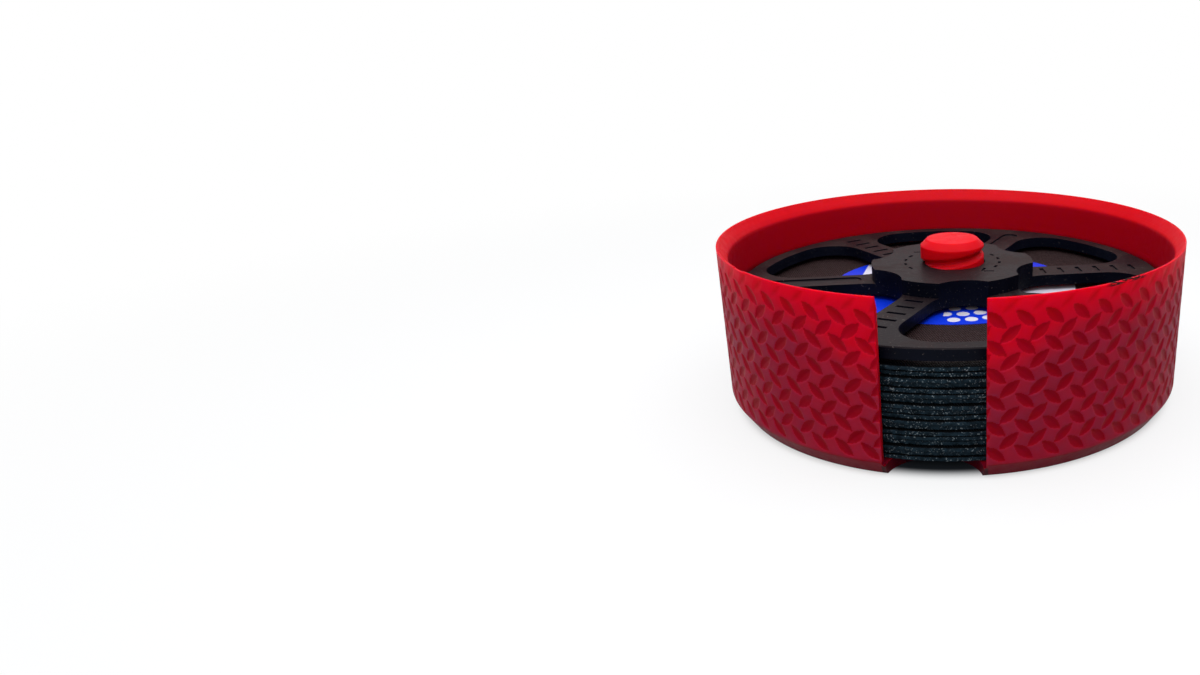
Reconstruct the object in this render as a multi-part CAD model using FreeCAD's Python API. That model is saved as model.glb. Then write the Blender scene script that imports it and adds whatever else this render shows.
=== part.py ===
"""Grinding disc holder: a round tray with a threaded post, a stack of cutting discs and a clamp wheel.

Millimetres, +Z up. The origin is the centre of the tray's underside and the open slot faces -Y.
Each sub-part is one solid in its own STEP file in parts/.
"""
import FreeCAD, Part
import math
import os

V = FreeCAD.Vector
Z_AXIS = V(0, 0, 1)
ORIGIN = V(0, 0, 0)

# Discs, each with a steel ring in its bore and a paper label on top
disc_count = 18
disc_radius = 62.5
disc_thickness = 1.05
ring_bore_radius = 11.115
ring_sleeve = 0.5
flange_width = 3.085
flange_thickness = 0.175
label_radius = 37.4
label_thickness = 0.1
label_ring_gap = 0.2
label_lean = 5.4
label_lean_turn = -90.5
disc_play = 0.5
disc_play_turn = 137.5
running_gap = 0.1

# Tray
wall_clearance = 1.7
wall = 3.0
tray_height = 46.5
floor_thickness = 3.0
rim_flat = 0.4
rim_chamfer_height = 3.5
base_chamfer_width = 3.0
base_chamfer_height = 4.4
slot_width = 25.4
notch_radius = 12.2
notch_inset = 0.6

# Threaded post
post_clearance = 1.715
post_height = 41.3
post_chamfer = 1.9
spigot_shoulder = 2.9
spigot_length = 1.6
spigot_clearance = 0.1

# Thread, right hand, one start
thread_pitch = 7.5
thread_start = 0.2
groove_width = 2.8
groove_floor_width = 0.7
groove_depth = 1.2
thread_side_clearance = 0.3
thread_radial_clearance = 0.35

# Clamp wheel, as wide as the discs
wheel_thickness = 3.2
rim_width = 4.4
spoke_count = 6
spoke_width = 9.6
spoke_angle = -108.0
window_inner_radius = 11.1
window_corner_radius = 10.3
hub_radius = 24.0
hub_height = 4.25
boss_radius = 16.5
boss_height = 1.3
edge_break = 0.3

# Sunk marks on the wheel: long grooves and cross bars on the spokes, turn arrows on the hub
mark_depth = 0.45
mark_hub_gap = 3.1
mark_rim_gap = 6.2
mark_side_gap = 2.1
bar_count = 6
bar_width = 1.3
arrow_bore_gap = 4.3
arrow_dash_count = 4
arrow_dash_step = 18.9
arrow_dash_length = 2.0
arrow_dash_width = 0.8
arrow_head_length = 3.4
arrow_head_spread = 38.0
arrow_head_gap = 7.5
arrow_start_angle = 35.0

# Cutting solids reach this far past the faces that they open
overcut = 1.0
thread_overcut = 0.6

# Places that follow from the sizes
ring_height = disc_thickness + 2 * flange_thickness
flange_radius = ring_bore_radius + flange_width
sleeve_radius = ring_bore_radius + ring_sleeve
tray_inner_radius = disc_radius + wall_clearance
tray_radius = tray_inner_radius + wall
post_radius = ring_bore_radius - post_clearance
post_top = floor_thickness + post_height
spigot_radius = post_radius - spigot_shoulder
bore_radius = post_radius + thread_radial_clearance
wheel_radius = disc_radius
stack_foot = floor_thickness + running_gap
top_disc_foot = stack_foot + (disc_count - 1) * ring_height + running_gap
boss_foot = top_disc_foot + ring_height + running_gap
wheel_foot = boss_foot + boss_height
wheel_face = wheel_foot + wheel_thickness
hub_top = wheel_face + hub_height
groove_flank = (groove_width - groove_floor_width) / 2 / groove_depth


def polar(radius, degrees, z=0.0):
    """Point at a radius and an angle about the axis."""
    angle = math.radians(degrees)
    return V(radius * math.cos(angle), radius * math.sin(angle), z)


def disc(radius, z, height):
    """Upright cylinder on the axis."""
    return Part.makeCylinder(radius, height, V(0, 0, z), Z_AXIS)


def ring(inner, outer, z, height):
    """Flat ring on the axis."""
    return disc(outer, z, height).cut(disc(inner, z - overcut, height + 2 * overcut))


def revolved(points):
    """Solid of revolution about the axis, from a closed outline of (radius, z) points."""
    outline = [V(r, 0, z) for r, z in points]
    face = Part.Face(Part.makePolygon(outline + [outline[0]]))
    return face.revolve(ORIGIN, Z_AXIS, 360)


def thread_ridge(inner, outer, half_tip, half_root, z, height):
    """Helical ridge of trapezoid section, with its narrow side at the inner radius.

    Its centre line passes angle 0 at height z and climbs one pitch per turn.
    """
    helix = Part.makeHelix(thread_pitch, height, outer)
    section = Part.makePolygon([
        V(inner, 0, -half_tip), V(outer, 0, -half_root),
        V(outer, 0, half_root), V(inner, 0, half_tip), V(inner, 0, -half_tip)])
    ridge = Part.Wire(helix).makePipeShell([section], True, True)
    ridge.translate(V(0, 0, z))
    return ridge


def make_tray():
    """Round tray with a chamfered rim and base, a slot in its front and a finger notch in its floor."""
    body = revolved([
        (0, 0), (tray_radius - base_chamfer_width, 0), (tray_radius, base_chamfer_height),
        (tray_radius, tray_height), (tray_radius - rim_flat, tray_height),
        (tray_inner_radius, tray_height - rim_chamfer_height),
        (tray_inner_radius, floor_thickness), (0, floor_thickness)])
    slot_back = math.sqrt(tray_inner_radius ** 2 - (slot_width / 2) ** 2) - overcut
    slot = Part.makeBox(slot_width, tray_radius + overcut - slot_back, tray_height, V(
        -slot_width / 2, -tray_radius - overcut, floor_thickness))
    notch = Part.makeCylinder(notch_radius, floor_thickness + 2 * overcut, V(
        0, notch_inset - tray_radius, -overcut), Z_AXIS)
    socket = disc(spigot_radius + spigot_clearance, floor_thickness - spigot_length - spigot_clearance,
                  tray_height)
    return body.cut([slot, notch, socket])


def make_post():
    """Post with a chamfered top, a helical groove and a spigot that plugs into the floor."""
    plain = revolved([
        (0, floor_thickness - spigot_length), (spigot_radius, floor_thickness - spigot_length),
        (spigot_radius, floor_thickness), (post_radius, floor_thickness),
        (post_radius, post_top - post_chamfer), (post_radius - post_chamfer, post_top), (0, post_top)])
    groove = thread_ridge(
        post_radius - groove_depth, post_radius + thread_overcut, groove_floor_width / 2,
        groove_width / 2 + groove_flank * thread_overcut, floor_thickness + thread_start, post_height)
    rod = disc(post_radius, floor_thickness - thread_pitch, post_height + 2 * thread_pitch)
    return plain.common(rod.cut(groove))


def window(degrees, z, height):
    """One wheel window: a rounded wedge between two spokes, centred on an angle."""
    half_gap = 180 / spoke_count
    half_spoke = spoke_width / 2
    rim_inner = wheel_radius - rim_width
    side_normal = 90 + half_gap
    tip_centre = (half_spoke + window_inner_radius) / math.sin(math.radians(half_gap))
    corner_centre = rim_inner - window_corner_radius
    corner_angle = half_gap - math.degrees(math.asin((half_spoke + window_corner_radius) / corner_centre))

    def side_points(side):
        """End of the inner arc, then the start, middle and end of the outer corner, on one side."""
        tip = V(tip_centre, 0, 0) + polar(window_inner_radius, side * side_normal)
        corner = polar(corner_centre, side * corner_angle)
        angles = (side_normal, (side_normal + corner_angle) / 2, corner_angle)
        return [tip] + [corner + polar(window_corner_radius, side * angle) for angle in angles]

    left, right = side_points(1), side_points(-1)
    edges = [
        Part.Arc(right[0], V(tip_centre - window_inner_radius, 0, 0), left[0]).toShape(),
        Part.makeLine(left[0], left[1]),
        Part.Arc(left[1], left[2], left[3]).toShape(),
        Part.Arc(left[3], V(rim_inner, 0, 0), right[3]).toShape(),
        Part.Arc(right[3], right[2], right[1]).toShape(),
        Part.makeLine(right[1], right[0])]
    solid = Part.Face(Part.Wire(edges)).extrude(V(0, 0, height))
    solid.translate(V(0, 0, z))
    solid.rotate(ORIGIN, Z_AXIS, degrees)
    return solid


def rounded_bar(start, end, width, z, height):
    """Flat bar with round ends along X."""
    half = width / 2
    bar = Part.makeBox(end - start - width, width, height, V(start + half, -half, z))
    for centre in (start + half, end - half):
        bar = bar.fuse(Part.makeCylinder(half, height, V(centre, 0, z), Z_AXIS))
    return bar.removeSplitter()


def spoke_marks():
    """Sunk marks: a long round-ended groove on every other spoke and a row of cross bars on the rest."""
    z = wheel_face - mark_depth
    height = mark_depth + overcut
    start = hub_radius + mark_hub_gap
    end = wheel_radius - mark_rim_gap
    width = spoke_width - 2 * mark_side_gap
    step = (end - start - bar_width) / (bar_count - 1)
    tools = []
    for k in range(spoke_count):
        if k % 2:
            marks = [rounded_bar(start, end, width, z, height)]
        else:
            marks = [Part.makeBox(bar_width, width, height, V(start + i * step, -width / 2, z))
                     for i in range(bar_count)]
        for mark in marks:
            mark.rotate(ORIGIN, Z_AXIS, spoke_angle + k * 360 / spoke_count)
            tools.append(mark)
    return tools


def turn_arrows():
    """Sunk marks on the hub: two dashed arcs that end in an open arrow head, clockwise to tighten."""
    z = hub_top - mark_depth
    height = mark_depth + overcut
    radius = bore_radius + arrow_bore_gap
    tools = []
    for half_turn in (0, 180):
        start = arrow_start_angle + half_turn
        for i in range(arrow_dash_count):
            dash = Part.makeBox(arrow_dash_width, arrow_dash_length, height, V(
                radius - arrow_dash_width / 2, -arrow_dash_length / 2, z))
            dash.rotate(ORIGIN, Z_AXIS, start - i * arrow_dash_step)
            tools.append(dash)
        tip_angle = start - arrow_dash_count * arrow_dash_step - arrow_head_gap
        strokes = []
        for side in (1, -1):
            stroke = Part.makeBox(arrow_dash_width, arrow_head_length, height, V(
                radius - arrow_dash_width / 2, 0, z))
            stroke.rotate(V(radius, 0, z), Z_AXIS, side * arrow_head_spread)
            strokes.append(stroke)
        head = strokes[0].fuse(strokes[1])
        head.rotate(ORIGIN, Z_AXIS, tip_angle)
        tools.append(head)
    return tools


def wheel_thread():
    """Inner ridge of the wheel, in line with the post's groove at the height where the wheel rests."""
    tip_radius = post_radius - groove_depth + thread_radial_clearance
    root_radius = bore_radius + thread_overcut
    half_surface = groove_width / 2 - thread_side_clearance
    half_tip = half_surface - groove_flank * (post_radius - tip_radius)
    half_root = half_surface + groove_flank * (root_radius - post_radius)
    first_turn = floor_thickness + thread_start
    turns_below = math.floor((boss_foot - first_turn) / thread_pitch) - 1
    height = hub_top - boss_foot
    ridge = thread_ridge(tip_radius, root_radius, half_tip, half_root,
                         first_turn + turns_below * thread_pitch, height + 4 * thread_pitch)
    return ridge.common(disc(root_radius, boss_foot, height))


def make_wheel():
    """Clamp wheel: a rim, six spokes, a scalloped hub with an inner thread, and a boss under the hub."""
    plate = revolved([
        (0, wheel_foot), (wheel_radius, wheel_foot), (wheel_radius, wheel_face - edge_break),
        (wheel_radius - edge_break, wheel_face), (0, wheel_face)])
    hub = disc(hub_radius, wheel_foot, wheel_thickness + hub_height)
    boss = disc(boss_radius, boss_foot, boss_height + wheel_thickness)
    foot = boss_foot - overcut
    height = hub_top - boss_foot + 2 * overcut
    cuts = [disc(bore_radius, foot, height)]
    for k in range(spoke_count):
        cuts.append(window(spoke_angle + (k + 0.5) * 360 / spoke_count, foot, height))
    wheel = plate.fuse([hub, boss]).cut(cuts + spoke_marks() + turn_arrows()).removeSplitter()
    return wheel.fuse(wheel_thread())


def make_disc(z):
    """Bonded abrasive disc with a plain bore for its steel ring."""
    return ring(sleeve_radius, disc_radius, z + flange_thickness, disc_thickness)


def make_ring(z):
    """Steel ring: a sleeve through the bore with a flange on each face."""
    return revolved([
        (ring_bore_radius, z), (flange_radius, z), (flange_radius, z + flange_thickness),
        (sleeve_radius, z + flange_thickness), (sleeve_radius, z + ring_height - flange_thickness),
        (flange_radius, z + ring_height - flange_thickness),
        (flange_radius, z + ring_height), (ring_bore_radius, z + ring_height)])


def make_label(z, turn):
    """Paper label on the top face, stuck on a little off centre, with a hole round the ring's flange."""
    foot = z + flange_thickness + disc_thickness
    label = disc(label_radius, foot, label_thickness)
    label.translate(polar(label_lean, turn + label_lean_turn))
    return label.cut(disc(flange_radius + label_ring_gap, foot - overcut, label_thickness + 2 * overcut))


def disc_places():
    """Foot and turn of each disc."""
    places = []
    for i in range(disc_count):
        last = i == disc_count - 1
        z = top_disc_foot if last else stack_foot + i * ring_height
        places.append((z, i * disc_play_turn))
    return places


def save(name, shape):
    """Write one node and print what it is."""
    shape = shape.Solids[0] if len(shape.Solids) == 1 else shape
    shape.exportStep("parts/" + name + ".step")
    print(name, "solids", len(shape.Solids), "valid", shape.isValid(), "mm3", round(shape.Volume, 1))


def main():
    os.makedirs("parts", exist_ok=True)
    save("tray", make_tray())
    save("threaded_post", make_post())
    save("clamp_wheel", make_wheel())
    for i, (z, turn) in enumerate(disc_places(), start=1):
        for name, piece in (("cutting_disc", make_disc(z)), ("arbor_ring", make_ring(z)),
                            ("disc_label", make_label(z, turn))):
            # The discs lie a little off the axis, because the post is thinner than their bores
            piece.translate(polar(disc_play, turn))
            save("%s_%02d" % (name, i), piece)


main()
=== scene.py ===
"""Looks of the grinding disc holder: red printed tray and post, gritty cutting discs, black clamp wheel.

Everything is in metres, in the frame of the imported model. The open slot faces -Y.
"""
import math
import bmesh
import bpy
from mathutils import Matrix, Vector, noise


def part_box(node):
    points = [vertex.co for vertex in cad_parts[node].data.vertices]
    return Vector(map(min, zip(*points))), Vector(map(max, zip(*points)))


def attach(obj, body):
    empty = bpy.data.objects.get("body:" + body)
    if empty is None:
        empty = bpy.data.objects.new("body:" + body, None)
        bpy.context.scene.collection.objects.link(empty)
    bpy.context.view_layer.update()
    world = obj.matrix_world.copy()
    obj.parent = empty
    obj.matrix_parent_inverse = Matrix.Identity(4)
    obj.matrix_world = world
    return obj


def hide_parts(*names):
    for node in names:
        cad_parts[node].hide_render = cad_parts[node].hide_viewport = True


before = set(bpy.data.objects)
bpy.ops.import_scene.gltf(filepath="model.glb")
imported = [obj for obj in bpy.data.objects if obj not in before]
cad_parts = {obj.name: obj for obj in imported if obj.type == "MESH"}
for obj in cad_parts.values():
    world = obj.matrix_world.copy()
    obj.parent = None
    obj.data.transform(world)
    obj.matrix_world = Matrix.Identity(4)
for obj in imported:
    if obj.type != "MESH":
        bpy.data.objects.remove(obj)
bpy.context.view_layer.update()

MM = 0.001
OUTER_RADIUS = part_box("tray")[1].x

# Tray, beside what its CAD box gives
WALL = 3.0 * MM
FLOOR_TOP = 3.0 * MM
RIM_FLAT = 0.4 * MM
RIM_CHAMFER_HEIGHT = 3.5 * MM
BASE_CHAMFER_WIDTH = 3.0 * MM
BASE_CHAMFER_HEIGHT = 4.4 * MM
SLOT_HALF = 12.7 * MM
NOTCH_RADIUS = 12.2 * MM
NOTCH_INSET = 0.6 * MM
EDGE_ROUNDING = 0.25 * MM
RIM_SEAM = (219.2, 223.6)
RIM_SEAM_DEPTH = 0.24 * MM
RIM_SEAM_FADE = 0.8 * MM
TRAY_SPACING = 0.3 * MM

# Sunk tread of the outer wall: leaves in two slants, on a lattice that starts at the slot
TREAD_PERIOD = 6.0727
TREAD_ROW = 6.8 * MM
LEAF_HALF_LENGTH = 3.3 * MM
LEAF_HALF_WIDTH = 1.35 * MM
LEAF_STEP = 0.16 * MM
LEAF_SLOPE = 0.26 * MM
FAINT_ROW_SHARE = 0.3
FALLING_LEAVES = {"tilt": -40.0, "angle": -77.3, "foot": 7.1 * MM, "rows": 6, "faint_rows": 0}
RISING_LEAVES = {"tilt": 40.0, "angle": -74.4, "foot": 10.4 * MM, "rows": 5, "faint_rows": 1}

# Post and its helical groove
POST_CHAMFER = 1.9 * MM
THREAD_PITCH = 7.5 * MM
THREAD_START = 0.2 * MM
GROOVE_HALF_WIDTH = 1.4 * MM
GROOVE_HALF_FLOOR = 0.35 * MM
GROOVE_DEPTH = 1.2 * MM
POST_COLUMNS = 168
POST_ROW = 0.16 * MM

# Cutting discs
DISC_COUNT = 18
DISC_COLUMNS = 720
BORE_RADIUS = 11.615 * MM
DISC_RADIUS = 62.5 * MM
EDGE_WEAR = 0.22 * MM
EDGE_WARP = 0.055 * MM
WEAVE_PITCH = 0.62 * MM
WEAVE_SLANT = 67.0

# Camera, from a fit of the rims, edges and post in the photograph
FOCAL_PIXELS = 859.7
IMAGE_WIDTH = 1200
IMAGE_HEIGHT = 675
AXIS_PIXEL = (966.0, 376.158)
SENSOR_WIDTH = 36.0
CAMERA_PLACE = Vector((19.0416, -249.348, 103.8457)) * MM
CAMERA_FORWARD = Vector((-0.05599, 0.92191, -0.38334))
CAMERA_RIGHT = Vector((0.99828, 0.05847, -0.00517))

# Lights and floor
FLOOR_SIZE = 8.0
FLOOR_DROP = 0.1 * MM
SOFTBOX_HEIGHT = 0.36
SOFTBOX_SIZE = 0.60
SOFTBOX_POWER = 2.1
FILL_PLACE = Vector((-0.1, -1.25, 0.7))
FILL_SIZE = 0.7
FILL_POWER = 4.0


class Finish:
    """A material's node tree, with short calls for the nodes that the finishes share."""

    def __init__(self, name):
        self.material = bpy.data.materials.new(name)
        self.material.use_nodes = True
        self.nodes = self.material.node_tree.nodes
        self.links = self.material.node_tree.links
        self.shader = self.nodes["Principled BSDF"]
        self.coordinates = self.nodes.new("ShaderNodeTexCoord")
        self.point = self.coordinates.outputs["Object"]

    def put(self, socket, value):
        """Links a socket, or sets a plain value."""
        if isinstance(value, bpy.types.NodeSocket):
            self.links.new(value, socket)
        else:
            socket.default_value = value

    def set(self, name, value):
        """Sets an input of the shader."""
        self.put(self.shader.inputs[name], value)

    def math(self, operation, a, b=0.0, clamp=False):
        node = self.nodes.new("ShaderNodeMath")
        node.operation = operation
        node.use_clamp = clamp
        self.put(node.inputs[0], a)
        self.put(node.inputs[1], b)
        return node.outputs[0]

    def split(self, vector):
        """The x, y and z of a vector."""
        node = self.nodes.new("ShaderNodeSeparateXYZ")
        self.links.new(vector, node.inputs[0])
        return node.outputs[0], node.outputs[1], node.outputs[2]

    def stretched(self, scale):
        """The object's coordinates times a scale along each axis."""
        node = self.nodes.new("ShaderNodeMapping")
        self.links.new(self.point, node.inputs["Vector"])
        node.inputs["Scale"].default_value = scale
        return node.outputs[0]

    def noise(self, scale, detail=2.0, roughness=0.5, vector=None):
        node = self.nodes.new("ShaderNodeTexNoise")
        self.links.new(vector or self.point, node.inputs["Vector"])
        node.inputs["Scale"].default_value = scale
        node.inputs["Detail"].default_value = detail
        node.inputs["Roughness"].default_value = roughness
        return node.outputs[0]

    def cells(self, scale, output="Distance", vector=None):
        node = self.nodes.new("ShaderNodeTexVoronoi")
        self.links.new(vector or self.point, node.inputs["Vector"])
        node.inputs["Scale"].default_value = scale
        return node.outputs[output]

    def step(self, value, low, high, bottom=0.0, top=1.0):
        """Maps a value from low..high smoothly to bottom..top."""
        node = self.nodes.new("ShaderNodeMapRange")
        node.interpolation_type = "SMOOTHSTEP"
        self.put(node.inputs["Value"], value)
        for name, number in (("From Min", low), ("From Max", high), ("To Min", bottom), ("To Max", top)):
            node.inputs[name].default_value = number
        return node.outputs[0]

    def blend(self, share, a, b):
        """Mixes two colours."""
        node = self.nodes.new("ShaderNodeMix")
        node.data_type = "RGBA"
        self.put(node.inputs[0], share)
        self.put(node.inputs[6], a)
        self.put(node.inputs[7], b)
        return node.outputs[2]

    def bump(self, height, distance, normal=None, strength=1.0):
        node = self.nodes.new("ShaderNodeBump")
        node.inputs["Distance"].default_value = distance
        node.inputs["Strength"].default_value = strength
        self.links.new(height, node.inputs["Height"])
        if normal is not None:
            self.links.new(normal, node.inputs["Normal"])
        return node.outputs[0]

    def facing_up(self):
        """1 on faces that look up or down, 0 on upright ones."""
        upright = self.split(self.coordinates.outputs["Normal"])[2]
        return self.step(self.math("ABSOLUTE", upright), 0.55, 0.8)


def rgb(red, green, blue):
    """Linear colour from 8-bit screen values."""
    def linear(value):
        share = value / 255
        return share / 12.92 if share <= 0.04045 else ((share + 0.055) / 1.055) ** 2.4
    return linear(red), linear(green), linear(blue), 1.0


def printed_lines(finish):
    """Height of the print lines: layers on upright faces, slanting strokes on flat ones."""
    layers = finish.noise(1.0, 1.0, 0.5, finish.stretched((14, 14, 3300)))
    x, y, z = finish.split(finish.point)
    across = finish.math("MULTIPLY", finish.math("ADD", x, y), 1 / math.sqrt(2))
    strokes = finish.math("SINE", finish.math("MULTIPLY", across, 2 * math.pi / (0.45 * MM)))
    strokes = finish.math("MULTIPLY", strokes, 0.2)
    height = finish.nodes.new("ShaderNodeMix")
    finish.links.new(finish.facing_up(), height.inputs[0])
    finish.links.new(layers, height.inputs[2])
    finish.links.new(strokes, height.inputs[3])
    return height.outputs[0]


def red_print():
    """Red printed plastic: layer lines, soft colour drift and a slight glow where it is thin."""
    finish = Finish("red_print")
    drift = finish.noise(38.0, 3.0, 0.6)
    layers = finish.noise(1.0, 1.0, 0.5, finish.stretched((9, 9, 1700)))
    colour = finish.blend(drift, rgb(206, 2, 20), rgb(216, 8, 26))
    colour = finish.blend(finish.step(layers, 0.35, 0.75, 0.0, 0.22), colour, rgb(186, 2, 26))

    # The outer skin carries a painted sheen, brighter red; lower on the wall it is painted a little paler and
    # darker in patches, as painted shade with a painted pale reflection. The sunk tread is painted deeper red as
    # shade in its hollows, and darker still low on the wall
    x, y, z = finish.split(finish.point)
    radius = finish.math("SQRT", finish.math("ADD", finish.math("MULTIPLY", x, x),
                                             finish.math("MULTIPLY", y, y)))
    # Painted shade: the wall darkens towards its bottom, beginning lower down beside the slot
    beside_slot = finish.step(finish.math("ABSOLUTE", x), 14 * MM, 36 * MM, 9 * MM, 0.0)
    low_on_wall = finish.step(finish.math("ADD", z, beside_slot), 30 * MM, 45 * MM, 1.0, 0.0)
    tread = finish.step(radius, OUTER_RADIUS - 1.2 * MM, OUTER_RADIUS - 0.9 * MM)
    tread = finish.math("MULTIPLY", tread, finish.step(z, 40 * MM, 43 * MM, 1.0, 0.0))
    colour = finish.blend(tread, colour, finish.blend(low_on_wall, rgb(205, 0, 34), rgb(174, 2, 32)))
    skin = finish.step(radius, OUTER_RADIUS - 0.16 * MM, OUTER_RADIUS - 0.04 * MM)
    painted_low_shade = finish.step(finish.noise(60.0, 3.0, 0.6), 0.3, 0.7, 0.7, 1.0)
    painted_low_shade = finish.math("MULTIPLY", painted_low_shade, low_on_wall)
    painted_sheen_skin = finish.blend(skin, colour, rgb(240, 8, 48))
    colour = finish.blend(finish.math("MULTIPLY", skin, painted_low_shade), painted_sheen_skin, rgb(172, 40, 70))

    # The inner wall is painted a little darker below the rim's chamfer and, with the floor, much darker beside
    # the discs below the wheel, as painted shade; the foot is painted darker and bluer as shade
    inside = finish.step(radius, OUTER_RADIUS - WALL + 0.1 * MM, OUTER_RADIUS - WALL + 0.4 * MM, 1.0, 0.0)
    inside = finish.math("MULTIPLY", inside, finish.step(radius, 12 * MM, 13 * MM))
    # Painted shade: the inner wall and floor darker below the rim's chamfer
    dull = finish.math("MULTIPLY", inside, finish.step(z, 42.5 * MM, 43.5 * MM, 1.0, 0.0))
    colour = finish.blend(dull, colour, rgb(180, 0, 24))
    # Painted shade beneath the wheel: the inner wall and the floor much darker
    painted_shade_below_wheel = finish.math("MULTIPLY", inside, finish.step(z, 31 * MM, 33.5 * MM, 1.0, 0.0))
    colour = finish.blend(painted_shade_below_wheel, colour, rgb(60, 2, 10))
    # Painted shade, darker and bluer, on all that lies below the top of the foot
    colour = finish.blend(finish.step(z, 3.6 * MM, 4.6 * MM, 1.0, 0.0), colour, rgb(166, 6, 42))
    # Painted shade on the floor's corners beside the finger notch, beneath the discs
    slot_edge = finish.math("MULTIPLY", finish.step(finish.math("ABSOLUTE", x), 12.9 * MM, 13.3 * MM, 1.0, 0.0),
                            finish.step(z, 2.9 * MM, 3.2 * MM, 1.0, 0.0))
    slot_edge = finish.math("MULTIPLY", slot_edge, finish.step(y, -55 * MM, -50 * MM, 1.0, 0.0))
    colour = finish.blend(slot_edge, colour, rgb(92, 4, 26))

    # Dark scuffs on the outer edge of the rim, right of the slot
    around = finish.math("ARCTAN2", y, x)
    scuff = finish.math("MULTIPLY", finish.step(around, math.radians(-54), math.radians(-51)),
                        finish.step(around, math.radians(-43), math.radians(-40), 1.0, 0.0))
    worn = finish.noise(1.0, 3.0, 0.7, finish.stretched((500, 500, 2200)))
    scuff = finish.math("MULTIPLY", scuff, finish.step(worn, 0.43, 0.51))
    scuff = finish.math("MULTIPLY", scuff, finish.step(z, 45.4 * MM, 45.8 * MM))
    scuff = finish.math("MULTIPLY", scuff, finish.step(radius, OUTER_RADIUS - 0.5 * MM, OUTER_RADIUS - 0.3 * MM))
    colour = finish.blend(scuff, colour, rgb(28, 8, 10))
    finish.set("Base Color", colour)
    finish.set("Roughness", finish.step(finish.noise(420.0, 3.0, 0.6), 0.3, 0.7, 0.48, 0.60))
    finish.set("Specular IOR Level", 0.07)
    finish.set("Subsurface Weight", 1.0)
    finish.set("Subsurface Radius", (1.0, 0.05, 0.04))
    finish.set("Subsurface Scale", 3.2 * MM)
    lines = finish.bump(printed_lines(finish), 0.035 * MM)
    blobs = finish.noise(650.0, 2.0, 0.5)
    finish.set("Normal", finish.bump(blobs, 0.05 * MM, lines))
    return finish.material


def black_print():
    """Black printed plastic with dust in its lines and rubbed, greyer patches; faces that look up get a painted
    sheen, lighter and warmer than the upright faces, which are painted a darker, bluer shade.
    """
    finish = Finish("black_print")
    rubbed = finish.step(finish.noise(70.0, 4.0, 0.62), 0.42, 0.72)
    dust = finish.step(finish.noise(1500.0, 2.0, 0.6), 0.66, 0.76)
    # Painted light: faces that look up are painted lit and sheened, upright faces painted shaded and bluer
    top = finish.blend(rubbed, rgb(26, 19, 22), rgb(42, 31, 31))
    side = finish.blend(rubbed, rgb(6, 9, 20), rgb(11, 14, 26))
    colour = finish.blend(finish.facing_up(), side, top)
    colour = finish.blend(finish.math("MULTIPLY", dust, 0.45), colour, rgb(120, 112, 108))
    finish.set("Base Color", colour)
    finish.set("Roughness", finish.step(rubbed, 0.0, 1.0, 0.42, 0.58))
    finish.set("Specular IOR Level", 0.05)
    lines = finish.bump(printed_lines(finish), 0.04 * MM)
    blobs = finish.noise(900.0, 2.0, 0.5)
    finish.set("Normal", finish.bump(blobs, 0.05 * MM, lines))
    return finish.material


def abrasive():
    """Resin-bonded grit: sparkling grains on the edges, a glass-cloth weave on the faces."""
    finish = Finish("abrasive")
    facing = finish.facing_up()
    grains = finish.cells(3600.0, "Color")
    grain_size = finish.cells(3600.0)
    speckle = finish.split(grains)[0]
    sparkle = finish.math("MULTIPLY", finish.step(speckle, 0.86, 0.96),
                          finish.step(finish.noise(240.0, 2.0, 0.6), 0.35, 0.65, 0.25, 1.0))
    lumps = finish.noise(700.0, 4.0, 0.7)
    grit = finish.blend(finish.step(lumps, 0.3, 0.7), rgb(11, 23, 30), rgb(38, 57, 68))
    grit = finish.blend(sparkle, grit, rgb(142, 154, 158))
    x, y, z = finish.split(finish.point)
    slant = math.radians(WEAVE_SLANT)
    across = finish.math("ADD", finish.math("MULTIPLY", x, math.sin(slant)),
                         finish.math("MULTIPLY", y, math.cos(slant)))
    along = finish.math("SUBTRACT", finish.math("MULTIPLY", x, math.cos(slant)),
                        finish.math("MULTIPLY", y, math.sin(slant)))
    warp = finish.math("SINE", finish.math("MULTIPLY", across, 2 * math.pi / WEAVE_PITCH))
    weft = finish.math("SINE", finish.math("MULTIPLY", along, 2 * math.pi / (2.2 * WEAVE_PITCH)))
    weave = finish.math("ADD", finish.math("MULTIPLY", warp, 0.7), finish.math("MULTIPLY", weft, 0.3))
    cloth = finish.blend(finish.step(weave, -0.4, 0.9), rgb(14, 8, 9), rgb(70, 52, 52))
    cloth = finish.blend(finish.step(lumps, 0.45, 0.75, 0.0, 0.7), cloth, rgb(30, 20, 21))
    radius = finish.math("SQRT", finish.math("ADD", finish.math("MULTIPLY", x, x),
                                             finish.math("MULTIPLY", y, y)))
    # The outer band of each face is a dark edge band, painted near-black as the shade beneath the wheel's rim
    edge_band_shade = finish.step(radius, DISC_RADIUS - 3.2 * MM, DISC_RADIUS - 2.2 * MM)
    cloth = finish.blend(edge_band_shade, cloth, rgb(6, 7, 9))
    finish.set("Base Color", finish.blend(facing, grit, cloth))
    finish.set("Roughness", finish.step(speckle, 0.2, 1.0, 0.72, 0.34))
    finish.set("Specular IOR Level", 0.06)
    rough = finish.bump(grain_size, 0.08 * MM)
    rough = finish.bump(lumps, 0.35 * MM, rough)
    cloth_height = finish.math("MULTIPLY", weave, facing)
    finish.set("Normal", finish.bump(cloth_height, 0.12 * MM, rough))
    return finish.material


def stamped_steel():
    """Thin stamped steel of the bore rings, dulled by handling."""
    finish = Finish("stamped_steel")
    wear = finish.noise(260.0, 4.0, 0.6)
    finish.set("Base Color", finish.blend(wear, rgb(150, 150, 154), rgb(196, 196, 200)))
    finish.set("Metallic", 1.0)
    finish.set("Roughness", finish.step(wear, 0.3, 0.7, 0.28, 0.46))
    finish.set("Normal", finish.bump(finish.noise(2400.0, 2.0), 0.02 * MM))
    return finish.material


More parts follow.
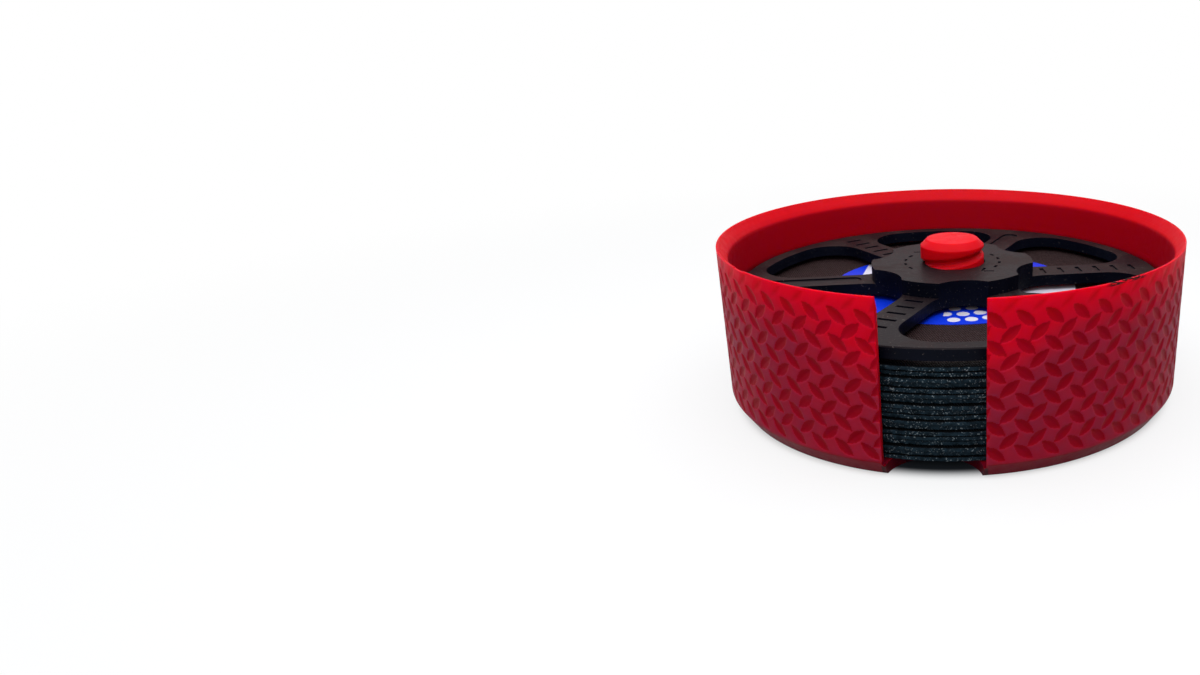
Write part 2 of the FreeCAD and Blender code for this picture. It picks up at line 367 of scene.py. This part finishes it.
def label_print():
    """Coated paper label: blue, with a black part, white parts, plain dots and short bars."""
    finish = Finish("label_print")
    x, y, z = finish.split(finish.point)
    radius = finish.math("SQRT", finish.math("ADD", finish.math("MULTIPLY", x, x),
                                             finish.math("MULTIPLY", y, y)))
    angle = finish.math("ARCTAN2", y, x)
    blue = rgb(4, 48, 205)
    white = rgb(212, 208, 222)
    ink = rgb(16, 15, 20)

    def band(value, low, high, soft):
        """1 between two values, with soft ends."""
        rise = finish.step(value, low - soft, low + soft)
        fall = finish.step(value, high - soft, high + soft)
        return finish.math("SUBTRACT", rise, fall, clamp=True)

    soft_angle = 0.004
    soft_length = 0.05 * MM
    black_part = band(angle, math.radians(-47), math.radians(30), soft_angle)
    colour = finish.blend(black_part, blue, ink)
    left_white = band(angle, math.radians(118), math.radians(158), soft_angle)
    left_white = finish.math("MULTIPLY", left_white, finish.step(x, -30.2 * MM, -29.8 * MM))
    right_white = band(angle, math.radians(-5), math.radians(14.5), soft_angle)
    colour = finish.blend(finish.math("MAXIMUM", left_white, right_white), colour, white)

    # Rows of round dots: the angle repeats, and each cell holds one dot
    for dot_ring, first, last in ((18.4 * MM, -98, -58), (23.2 * MM, -92, -56), (28.0 * MM, -90, -62)):
        dot_step = 4.9 * MM / dot_ring
        cell = finish.math("SUBTRACT", finish.math("FRACT", finish.math("DIVIDE", angle, dot_step)), 0.5)
        cell = finish.math("MULTIPLY", cell, dot_step * dot_ring)
        along = finish.math("SUBTRACT", radius, dot_ring)
        reach = finish.math("SQRT", finish.math("ADD", finish.math("MULTIPLY", cell, cell),
                                                finish.math("MULTIPLY", along, along)))
        dots = finish.step(reach, 1.75 * MM, 1.85 * MM, 1.0, 0.0)
        dots = finish.math("MULTIPLY", dots, band(angle, math.radians(first), math.radians(last), 0.001))
        colour = finish.blend(dots, colour, white)

    # Short pale bars across the black part
    bar = finish.math("FRACT", finish.math("DIVIDE", radius, 2.6 * MM))
    bars = finish.math("MULTIPLY", band(bar, 0.3, 0.55, 0.02),
                       band(angle, math.radians(16.5), math.radians(24), soft_angle))
    bars = finish.math("MULTIPLY", bars, band(radius, 20 * MM, 35 * MM, soft_length))
    colour = finish.blend(bars, colour, white)
    finish.set("Base Color", colour)
    finish.set("Roughness", 0.36)
    finish.set("Specular IOR Level", 0.3)
    finish.set("Normal", finish.bump(finish.noise(300.0, 2.0), 0.05 * MM))
    return finish.material


def mesh_piece(name, vertices, faces, material, sharp_degrees):
    """A mesh object with shared vertices, outward faces and smooth shading up to an angle."""
    mesh = bpy.data.meshes.new(name)
    shape = bmesh.new()
    corners = [shape.verts.new(vertex) for vertex in vertices]
    for face in faces:
        shape.faces.new([corners[i] for i in face])
    bmesh.ops.remove_doubles(shape, verts=shape.verts, dist=0.5e-6)
    bmesh.ops.recalc_face_normals(shape, faces=shape.faces)
    shape.to_mesh(mesh)
    shape.free()
    mesh.materials.append(material)
    mesh.shade_smooth()
    mesh.set_sharp_from_angle(angle=math.radians(sharp_degrees))
    piece = bpy.data.objects.new(name, mesh)
    bpy.context.scene.collection.objects.link(piece)
    return piece


def outline(corners):
    """Points through (radius, z, rounding, spacing) corners: a short arc at each, even steps between.

    The spacing is that of the stretch after the corner.
    """
    points = []
    last = len(corners) - 1
    for i, (radius, z, rounding, spacing) in enumerate(corners):
        here = Vector((radius, z))
        if i in (0, last) or not rounding:
            points.append(here)
        else:
            before = (Vector(corners[i - 1][:2]) - here).normalized() * rounding
            after = (Vector(corners[i + 1][:2]) - here).normalized() * rounding
            for share in (0.0, 0.25, 0.5, 0.75, 1.0):
                points.append(here + before * (1 - share) ** 2 + after * share ** 2)
        if i < last:
            start = points[-1].copy()
            end = Vector(corners[i + 1][:2])
            run = end - start
            next_rounding = corners[i + 1][2] if i + 1 < last else 0.0
            length = run.length - next_rounding
            steps = max(1, round(length / spacing))
            for k in range(1, steps):
                points.append(start + run.normalized() * length * k / steps)
    return points


def leaf_depth(degrees, z, radius):
    """How far the tread sinks the outer wall at an angle and a height."""
    depth = 0.0
    for slant in (FALLING_LEAVES, RISING_LEAVES):
        column = round((degrees - slant["angle"]) / TREAD_PERIOD)
        row = round((z - slant["foot"]) / TREAD_ROW)
        if not 0 <= row < slant["rows"] + slant["faint_rows"]:
            continue
        along = math.radians(degrees - slant["angle"] - column * TREAD_PERIOD) * radius
        rise = z - slant["foot"] - row * TREAD_ROW
        tilt = math.radians(slant["tilt"])
        u = along * math.cos(tilt) + rise * math.sin(tilt)
        v = rise * math.cos(tilt) - along * math.sin(tilt)
        taper = 1 - (u / LEAF_HALF_LENGTH) ** 2
        if taper <= 0 or abs(v) >= LEAF_HALF_WIDTH * taper:
            continue
        share = FAINT_ROW_SHARE if row >= slant["rows"] else 1.0
        share *= 1 + 0.2 * noise.noise(Vector((column * 1.7, row * 2.3, slant["tilt"])))
        depth += share * (LEAF_STEP + LEAF_SLOPE * (taper - abs(v) / LEAF_HALF_WIDTH))
    return depth


def tray_shell(material):
    """The tray: a wall swept round all but the slot, closed by its two ends, the floor and the underside."""
    low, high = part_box("tray")
    outer = high.x
    inner = outer - WALL
    top = high.z
    foot = outer - BASE_CHAMFER_WIDTH
    section = outline([
        (foot, 0.0, 0.0, 1.0 * MM),
        (foot + BASE_CHAMFER_WIDTH * FLOOR_TOP / BASE_CHAMFER_HEIGHT, FLOOR_TOP, 0.0, 0.5 * MM),
        (outer, BASE_CHAMFER_HEIGHT, 0.5 * MM, TRAY_SPACING),
        (outer, top, 0.2 * MM, 0.3 * MM),
        (outer - RIM_FLAT, top, 0.12 * MM, 0.5 * MM),
        (inner, top - RIM_CHAMFER_HEIGHT, 0.9 * MM, 2.0 * MM),
        (inner, FLOOR_TOP, 0.0, 1.0 * MM)])
    columns = round((2 * math.pi * outer - 2 * SLOT_HALF) / TRAY_SPACING)
    shares = [k / columns for k in range(columns + 1)]
    edge_share = EDGE_ROUNDING / (2 * math.pi * outer)
    for k in (0.15, 0.45, 1.0):
        shares += [k * edge_share, 1 - k * edge_share]
    shares = sorted(set(shares))

    def place(radius, z, share):
        """A point of the wall; share runs from one end of the slot to the other."""
        slot_angle = math.asin(SLOT_HALF / radius)
        angle = -math.pi / 2 + slot_angle + (2 * math.pi - 2 * slot_angle) * share
        return Vector((radius * math.cos(angle), radius * math.sin(angle), z)), math.degrees(angle)

    vertices = []
    faces = []
    grid = []
    for row, point in enumerate(section):
        before = section[max(row - 1, 0)]
        after = section[min(row + 1, len(section) - 1)]
        along = (after - before).normalized()
        normal = Vector((along.y, -along.x))
        fade = min(max((point.y - FLOOR_TOP) / MM, 0.0), 1.0)
        line = []
        for share in shares:
            spot, degrees = place(point.x, point.y, share)
            from_end = min(share, 1 - share) * 2 * math.pi * outer
            inset = max(EDGE_ROUNDING - from_end, 0.0)
            inset = (EDGE_ROUNDING - math.sqrt(EDGE_ROUNDING ** 2 - inset ** 2)) * fade
            radius = point.x - normal.x * inset
            if point.x > outer - 0.01 * MM and point.y < top - 0.5 * MM:
                radius -= leaf_depth(degrees, point.y, outer)
            height = point.y - normal.y * inset
            if RIM_SEAM[0] < degrees < RIM_SEAM[1]:
                height -= RIM_SEAM_DEPTH * min(max((point.y - top) / RIM_SEAM_FADE + 1, 0.0), 1.0)
            spot, degrees = place(radius, height, share)
            line.append(len(vertices))
            vertices.append(spot)
        grid.append(line)
    for lower, upper in zip(grid, grid[1:]):
        for k in range(len(shares) - 1):
            faces.append((lower[k], lower[k + 1], upper[k + 1], upper[k]))

    # Wall ends, from the floor's level up
    floor_row = next(i for i, point in enumerate(section) if point.y >= FLOOR_TOP - 1e-9)
    for column in (0, -1):
        faces.append([line[column] for line in grid[floor_row:]])

    # Floor edge between each wall end and the finger notch, and the notch itself
    notch_y = -outer + NOTCH_INSET
    notch_columns = 48
    sliver_columns = 2
    rows = []
    for index in range(floor_row + 1):
        radius, z = section[index]
        cross_y = (radius ** 2 - NOTCH_RADIUS ** 2 + notch_y ** 2) / (2 * notch_y)
        cross_x = math.sqrt(radius ** 2 - cross_y ** 2)
        end = math.atan2(cross_y, cross_x)
        start = math.asin(-math.sqrt(1 - (SLOT_HALF / radius) ** 2))
        line = []
        for k in range(sliver_columns + 1):
            angle = start + (end - start) * k / sliver_columns
            line.append(Vector((radius * math.cos(angle), radius * math.sin(angle), z)))
        notch_start = math.atan2(cross_y - notch_y, cross_x)
        for k in range(1, notch_columns):
            angle = notch_start + (math.pi - 2 * notch_start) * k / notch_columns
            line.append(Vector((NOTCH_RADIUS * math.cos(angle), notch_y + NOTCH_RADIUS * math.sin(angle), z)))
        for k in range(sliver_columns + 1):
            mirrored = line[sliver_columns - k].copy()
            mirrored.x = -mirrored.x
            line.append(mirrored)
        rows.append(range(len(vertices), len(vertices) + len(line)))
        vertices += line
    for lower, upper in zip(rows, rows[1:]):
        for k in range(len(lower) - 1):
            faces.append((lower[k], lower[k + 1], upper[k + 1], upper[k]))

    # Underside and floor
    faces.append(grid[0] + list(reversed(rows[0]))[1:-1])
    faces.append(grid[-1] + list(reversed(rows[-1])))
    piece = mesh_piece("tray_shell", vertices, faces, material, 38)
    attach(piece, "tray")
    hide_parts("tray")
    return piece


def post_shell(material):
    """The post, with the groove sunk along its helix."""
    low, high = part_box("threaded_post")
    radius = high.x
    top = high.z
    foot = FLOOR_TOP
    rows = round((top - POST_CHAMFER - foot) / POST_ROW)
    profile = [(radius, foot + (top - POST_CHAMFER - foot) * k / rows) for k in range(rows + 1)]
    for share in (0.12, 0.35, 0.6, 0.85, 0.95):
        profile.append((radius - POST_CHAMFER * share, top - POST_CHAMFER * (1 - share)))
    profile += [(radius - POST_CHAMFER * 1.02, top - 0.02 * MM), (radius - POST_CHAMFER * 1.12, top)]

    def sunk(angle, z):
        """Depth of the groove at an angle and a height."""
        turn = (z - foot - THREAD_START) / THREAD_PITCH - angle / (2 * math.pi)
        off = abs(turn - max(round(turn), 0)) * THREAD_PITCH
        slope = GROOVE_DEPTH / (GROOVE_HALF_WIDTH - GROOVE_HALF_FLOOR)
        return min(max((GROOVE_HALF_WIDTH - off) * slope, 0.0), GROOVE_DEPTH)

    vertices = []
    faces = []
    for r, z in profile:
        for k in range(POST_COLUMNS):
            angle = 2 * math.pi * k / POST_COLUMNS
            reach = min(r, radius - sunk(angle, z))
            vertices.append(Vector((reach * math.cos(angle), reach * math.sin(angle), z)))
    for row in range(len(profile) - 1):
        for k in range(POST_COLUMNS):
            here = row * POST_COLUMNS
            beside = (k + 1) % POST_COLUMNS
            faces.append((here + k, here + beside, here + POST_COLUMNS + beside, here + POST_COLUMNS + k))
    faces.append(list(range(POST_COLUMNS)))
    faces.append(list(range((len(profile) - 1) * POST_COLUMNS, len(profile) * POST_COLUMNS)))
    piece = mesh_piece("post_shell", vertices, faces, material, 45)
    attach(piece, "tray")
    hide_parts("threaded_post")
    return piece


def disc_shell(number, material):
    """One cutting disc: a worn, gritty edge that waves a little, and flat faces."""
    node = "cutting_disc_%02d" % number
    low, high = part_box(node)
    centre = (low + high) / 2
    half = (high.z - low.z) / 2
    # (radius, height as a share of the half thickness, share of the edge's roughness)
    profile = [
        (BORE_RADIUS, -1.0, 0.0), (DISC_RADIUS - 6 * MM, -1.0, 0.0), (DISC_RADIUS - 1.2 * MM, -1.05, 0.6),
        (DISC_RADIUS - 0.25 * MM, -1.14, 1.0), (DISC_RADIUS, -0.95, 1.0), (DISC_RADIUS, 0.0, 1.0),
        (DISC_RADIUS, 0.95, 1.0), (DISC_RADIUS - 0.25 * MM, 1.14, 1.0), (DISC_RADIUS - 1.2 * MM, 1.05, 0.6),
        (DISC_RADIUS - 6 * MM, 1.0, 0.0), (BORE_RADIUS, 1.0, 0.0)]
    vertices = []
    faces = []
    for index, (radius, height, rough) in enumerate(profile):
        for k in range(DISC_COLUMNS):
            angle = 2 * math.pi * k / DISC_COLUMNS
            around = Vector((math.cos(angle), math.sin(angle), 0.0))
            spot = around * radius
            z = height * half
            if rough:
                seat = around * 62.5 + Vector((0.0, 0.0, number * 7.3))
                wave = noise.noise(seat * 0.09)
                chip = noise.noise(seat * 1.3 + Vector((0.0, 0.0, index * 3.1)))
                grain = noise.noise(seat * 2.9 + Vector((0.0, index * 5.7, 0.0)))
                wear = EDGE_WEAR * (0.5 + 0.6 * chip + 0.5 * grain)
                spot = around * (radius - rough * max(wear, 0.0))
                z += rough * EDGE_WARP * (1.2 * wave + 0.35 * grain)
            vertices.append(centre + Vector((spot.x, spot.y, z)))
    rows = len(profile)
    for row in range(rows):
        for k in range(DISC_COLUMNS):
            here = row * DISC_COLUMNS
            above = (row + 1) % rows * DISC_COLUMNS
            beside = (k + 1) % DISC_COLUMNS
            faces.append((here + k, here + beside, above + beside, above + k))
    piece = mesh_piece("disc_body_%02d" % number, vertices, faces, material, 60)
    body = "top_disc" if number == DISC_COUNT else "disc_stack"
    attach(piece, body)
    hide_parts(node)
    return piece


def finish_node(name, material):
    """Gives a CAD node its finish."""
    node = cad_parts[name]
    node.data.materials.clear()
    node.data.materials.append(material)


def aimed(direction, right=None):
    """Rotation that looks along a direction, as cameras and lamps do."""
    if right is None:
        return direction.to_track_quat("-Z", "Y").to_matrix().to_4x4()
    forward = direction.normalized()
    side = (right - forward * right.dot(forward)).normalized()
    up = side.cross(forward)
    return Matrix((side, up, -forward)).transposed().to_4x4()


def add_camera():
    data = bpy.data.cameras.new("camera")
    camera = bpy.data.objects.new("camera", data)
    bpy.context.scene.collection.objects.link(camera)
    camera.matrix_world = Matrix.Translation(CAMERA_PLACE) @ aimed(CAMERA_FORWARD, CAMERA_RIGHT)
    data.sensor_width = SENSOR_WIDTH
    data.lens = FOCAL_PIXELS / IMAGE_WIDTH * SENSOR_WIDTH
    data.shift_x = (IMAGE_WIDTH / 2 - AXIS_PIXEL[0]) / IMAGE_WIDTH
    data.shift_y = (AXIS_PIXEL[1] - IMAGE_HEIGHT / 2) / IMAGE_WIDTH
    data.clip_start = 0.01
    bpy.context.scene.camera = camera


def add_softbox(name, place, target, size, power):
    data = bpy.data.lights.new(name, "AREA")
    data.shape = "DISK"
    data.size = size
    data.energy = power
    lamp = bpy.data.objects.new(name, data)
    lamp.visible_camera = False
    lamp.matrix_world = Matrix.Translation(place) @ aimed(target - place)
    bpy.context.scene.collection.objects.link(lamp)


def seen_directly(nodes, links):
    """1 for rays from the camera, a reflection or through glass, and 0 for light that bounces."""
    path = nodes.new("ShaderNodeLightPath")
    first = nodes.new("ShaderNodeMath")
    first.operation = "MAXIMUM"
    links.new(path.outputs["Is Camera Ray"], first.inputs[0])
    links.new(path.outputs["Is Glossy Ray"], first.inputs[1])
    both = nodes.new("ShaderNodeMath")
    both.operation = "MAXIMUM"
    links.new(first.outputs[0], both.inputs[0])
    links.new(path.outputs["Is Transmission Ray"], both.inputs[1])
    return both.outputs[0]


def add_floor():
    """Pale floor that keeps the shadow near the object and fades to plain white away from it; a painted shadow
    darkens it beneath the object.
    """
    mesh = bpy.data.meshes.new("floor")
    half = FLOOR_SIZE / 2
    mesh.from_pydata([(-half, -half, -FLOOR_DROP), (half, -half, -FLOOR_DROP),
                      (half, half, -FLOOR_DROP), (-half, half, -FLOOR_DROP)], [], [(0, 1, 2, 3)])
    floor = bpy.data.objects.new("floor", mesh)
    bpy.context.scene.collection.objects.link(floor)
    finish = Finish("floor")
    nodes, links = finish.nodes, finish.links
    nodes.remove(finish.shader)
    length = nodes.new("ShaderNodeVectorMath")
    length.operation = "LENGTH"
    links.new(finish.point, length.inputs[0])
    lit = nodes.new("ShaderNodeBsdfDiffuse")
    # Painted shadow: the floor is dark grey beneath the object, and does not glow there
    painted_shadow_beneath = finish.step(length.outputs["Value"], 0.060, 0.067)
    links.new(finish.blend(painted_shadow_beneath, rgb(60, 66, 72), rgb(240, 240, 241)), lit.inputs["Color"])
    glow = nodes.new("ShaderNodeEmission")
    pale = nodes.new("ShaderNodeMixShader")
    glowing = finish.step(length.outputs["Value"], 0.068, 0.4, 0.78, 1.0)
    links.new(finish.math("MULTIPLY", glowing, painted_shadow_beneath), pale.inputs[0])
    links.new(lit.outputs[0], pale.inputs[1])
    links.new(glow.outputs[0], pale.inputs[2])
    dull = nodes.new("ShaderNodeBsdfDiffuse")
    dull.inputs["Color"].default_value = (0.16, 0.15, 0.16, 1.0)
    surface = nodes.new("ShaderNodeMixShader")
    links.new(seen_directly(nodes, links), surface.inputs[0])
    links.new(dull.outputs[0], surface.inputs[1])
    links.new(pale.outputs[0], surface.inputs[2])
    links.new(surface.outputs[0], nodes["Material Output"].inputs["Surface"])
    mesh.materials.append(finish.material)


def add_world():
    """White behind everything; as light, brighter from above."""
    world = bpy.data.worlds.new("studio")
    bpy.context.scene.world = world
    world.use_nodes = True
    nodes = world.node_tree.nodes
    links = world.node_tree.links
    background = nodes["Background"]
    coordinates = nodes.new("ShaderNodeTexCoord")
    split = nodes.new("ShaderNodeSeparateXYZ")
    links.new(coordinates.outputs["Generated"], split.inputs[0])
    height = nodes.new("ShaderNodeMapRange")
    links.new(split.outputs[2], height.inputs["Value"])
    height.inputs["From Min"].default_value = 0.0
    height.inputs["To Min"].default_value = 0.09
    height.inputs["To Max"].default_value = 0.36
    mix = nodes.new("ShaderNodeMix")
    links.new(seen_directly(nodes, links), mix.inputs[0])
    links.new(height.outputs[0], mix.inputs[2])
    mix.inputs[3].default_value = 1.0
    links.new(mix.outputs[0], background.inputs["Strength"])
    tint = nodes.new("ShaderNodeMix")
    tint.data_type = "RGBA"
    links.new(seen_directly(nodes, links), tint.inputs[0])
    tint.inputs[6].default_value = (0.78, 0.88, 1.0, 1.0)
    tint.inputs[7].default_value = (1.0, 1.0, 1.0, 1.0)
    links.new(tint.outputs[2], background.inputs["Color"])


def main():
    bpy.context.scene.view_settings.view_transform = "Standard"
    red = red_print()
    black = black_print()
    grit = abrasive()
    steel = stamped_steel()
    paper = label_print()
    tray_shell(red)
    post_shell(red)
    for number in range(1, DISC_COUNT + 1):
        disc_shell(number, grit)
        finish_node("arbor_ring_%02d" % number, steel)
        finish_node("disc_label_%02d" % number, paper)
    finish_node("clamp_wheel", black)
    add_camera()
    add_softbox("key", Vector((0.0, -0.02, SOFTBOX_HEIGHT)), Vector((0.0, 0.0, 0.0)),
                SOFTBOX_SIZE, SOFTBOX_POWER)
    add_softbox("fill", FILL_PLACE, Vector((0.0, 0.0, 0.02)), FILL_SIZE, FILL_POWER)
    add_floor()
    add_world()


main()
